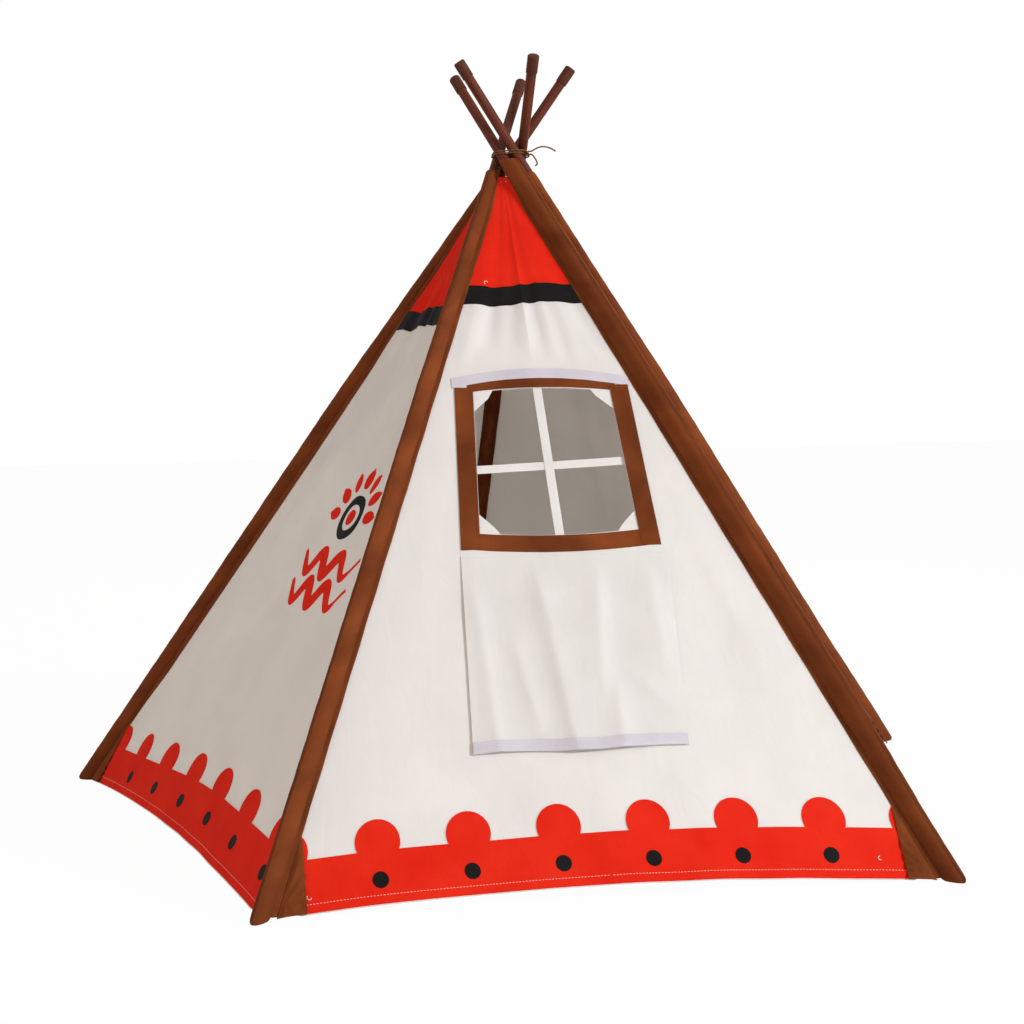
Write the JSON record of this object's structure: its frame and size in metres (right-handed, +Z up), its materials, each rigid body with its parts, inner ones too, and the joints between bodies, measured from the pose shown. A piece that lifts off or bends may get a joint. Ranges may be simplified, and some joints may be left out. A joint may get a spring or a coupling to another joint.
{
  "type": "kids teepee",
  "caption": "Free-standing play teepee: wooden poles lashed near the top in cloth sleeves, sloping canvas walls with scalloped bands, a barred window with a flap and a curtained doorway.",
  "frame": {"origin": "On the floor, under the middle of the outline's width and depth.", "axes": "+Z up; the window wall faces -Y; +X is to the right as seen from the front, and the doorway is in the wall towards +X +Y."},
  "size_m": [1.8112, 1.724, 1.4639],
  "materials": {
    "cream_canvas": "matte woven cotton canvas",
    "red_cloth": "matte woven cotton",
    "black_cloth": "matte woven cotton",
    "brown_cloth": "matte woven cotton",
    "tape": "hook and loop tape",
    "pole_wood": "brown stain, satin",
    "cap": "matte rubber",
    "cord": "braided cotton cord"
  },
  "bodies": {
    "canvas": {"lashing_cord": "cord", "lashing_knot": "cord", "lashing_long_tail": "cord", "lashing_short_tail": "cord", "front_wall_panel": "cream_canvas", "right_wall_panel": "cream_canvas", "door_top_panel": "cream_canvas", "back_wall_panel": "cream_canvas", "left_wall_panel": "cream_canvas", "front_black_band": "black_cloth", "right_black_band": "black_cloth", "door_black_band": "black_cloth", "back_black_band": "black_cloth", "left_black_band": "black_cloth", "front_red_top": "red_cloth", "right_red_top": "red_cloth", "door_red_top": "red_cloth", "back_red_top": "red_cloth", "left_red_top": "red_cloth", "front_base_band": "red_cloth", "right_base_band": "red_cloth", "back_base_band": "red_cloth", "left_base_band": "red_cloth", "front_left_gusset": "brown_cloth", "front_right_gusset": "brown_cloth", "right_left_gusset": "brown_cloth", "right_right_gusset": "brown_cloth", "back_left_gusset": "brown_cloth", "back_right_gusset": "brown_cloth", "left_left_gusset": "brown_cloth", "window_frame_left": "brown_cloth", "window_frame_right": "brown_cloth", "window_frame_top": "brown_cloth", "window_frame_bottom": "brown_cloth", "window_bar_upright": "cream_canvas", "window_bar_level": "cream_canvas", "window_closure_tape": "tape"},
    "front_left_pole_body": {"front_left_pole": "pole_wood", "front_left_pole_cap": "cap", "front_left_pole_sleeve": "brown_cloth"},
    "front_right_pole_body": {"front_right_pole": "pole_wood", "front_right_pole_cap": "cap", "front_right_pole_sleeve": "brown_cloth"},
    "rear_right_pole_body": {"rear_right_pole": "pole_wood", "rear_right_pole_cap": "cap", "rear_right_pole_sleeve": "brown_cloth"},
    "rear_pole_body": {"rear_pole": "pole_wood", "rear_pole_cap": "cap", "rear_pole_sleeve": "brown_cloth"},
    "rear_left_pole_body": {"rear_left_pole": "pole_wood", "rear_left_pole_cap": "cap", "rear_left_pole_sleeve": "brown_cloth"},
    "window_flap_body": {"window_flap": "cream_canvas", "window_flap_tape": "tape"},
    "left_curtain_body": {"left_door_curtain": "cream_canvas", "left_door_curtain_base_band": "red_cloth"},
    "right_curtain_body": {"right_door_curtain": "cream_canvas", "right_door_curtain_base_band": "red_cloth"}
  },
  "joints": [
    {"name": "front_left_pole_fold", "type": "hinge", "parent": "canvas", "child": "front_left_pole_body", "pos_m": [-0.02009, -0.07555, 1.287], "axis": [0.8244, -0.566, 0], "range_deg": [0, 36.03], "deforming": ["front_wall_panel", "right_wall_panel", "door_top_panel", "back_wall_panel", "left_wall_panel", "front_black_band", "right_black_band", "door_black_band", "back_black_band", "left_black_band", "front_red_top", "right_red_top", "door_red_top", "back_red_top", "left_red_top", "front_base_band", "right_base_band", "back_base_band", "left_base_band", "front_left_gusset", "front_right_gusset", "right_left_gusset", "right_right_gusset", "back_left_gusset", "back_right_gusset", "left_left_gusset", "window_frame_left", "window_frame_right", "window_frame_top", "window_frame_bottom", "window_bar_upright", "window_bar_level", "window_closure_tape", "front_left_pole_sleeve", "front_right_pole_sleeve", "rear_right_pole_sleeve", "rear_pole_sleeve", "rear_left_pole_sleeve", "window_flap", "window_flap_tape", "left_door_curtain", "left_door_curtain_base_band", "right_door_curtain", "right_door_curtain_base_band"]},
    {"name": "front_right_pole_fold", "type": "hinge", "parent": "canvas", "child": "front_right_pole_body", "pos_m": [-0.02009, -0.10494, 1.287], "axis": [0.793, 0.6092, 0], "range_deg": [0, 36.03]},
    {"name": "rear_right_pole_fold", "type": "hinge", "parent": "canvas", "child": "rear_right_pole_body", "pos_m": [0.00786, -0.11402, 1.287], "axis": [-0.3343, 0.9425, 0], "range_deg": [0, 36.03]},
    {"name": "rear_pole_fold", "type": "hinge", "parent": "canvas", "child": "rear_pole_body", "pos_m": [0.02514, -0.09024, 1.287], "axis": [-0.9996, -0.0267, 0], "range_deg": [0, 36.03]},
    {"name": "rear_left_pole_fold", "type": "hinge", "parent": "canvas", "child": "rear_left_pole_body", "pos_m": [0.00786, -0.06646, 1.287], "axis": [-0.2835, -0.959, 0], "range_deg": [0, 36.03]},
    {"name": "window_flap_lift", "type": "hinge", "parent": "front_left_pole_body", "child": "window_flap_body", "pos_m": [-0.00208, -0.54769, 0.52031], "axis": [-0.9998, 0.018, 0], "range_deg": [0, 178]},
    {"name": "left_curtain_swing", "type": "hinge", "parent": "rear_right_pole_body", "child": "left_curtain_body", "pos_m": [0.59099, 0.11394, 0.40976], "axis": [0.554, 0.1959, -0.8092], "range_deg": [0, 120]},
    {"name": "right_curtain_swing", "type": "hinge", "parent": "rear_pole_body", "child": "right_curtain_body", "pos_m": [0.02732, 0.53431, 0.40974], "axis": [0.0151, -0.5886, 0.8083], "range_deg": [0, 120]}
  ],
  "couplings": [
    {"joint": "front_right_pole_fold", "follows": "front_left_pole_fold", "ratio": 1},
    {"joint": "rear_right_pole_fold", "follows": "front_left_pole_fold", "ratio": 1},
    {"joint": "rear_pole_fold", "follows": "front_left_pole_fold", "ratio": 1},
    {"joint": "rear_left_pole_fold", "follows": "front_left_pole_fold", "ratio": 1}
  ]
}
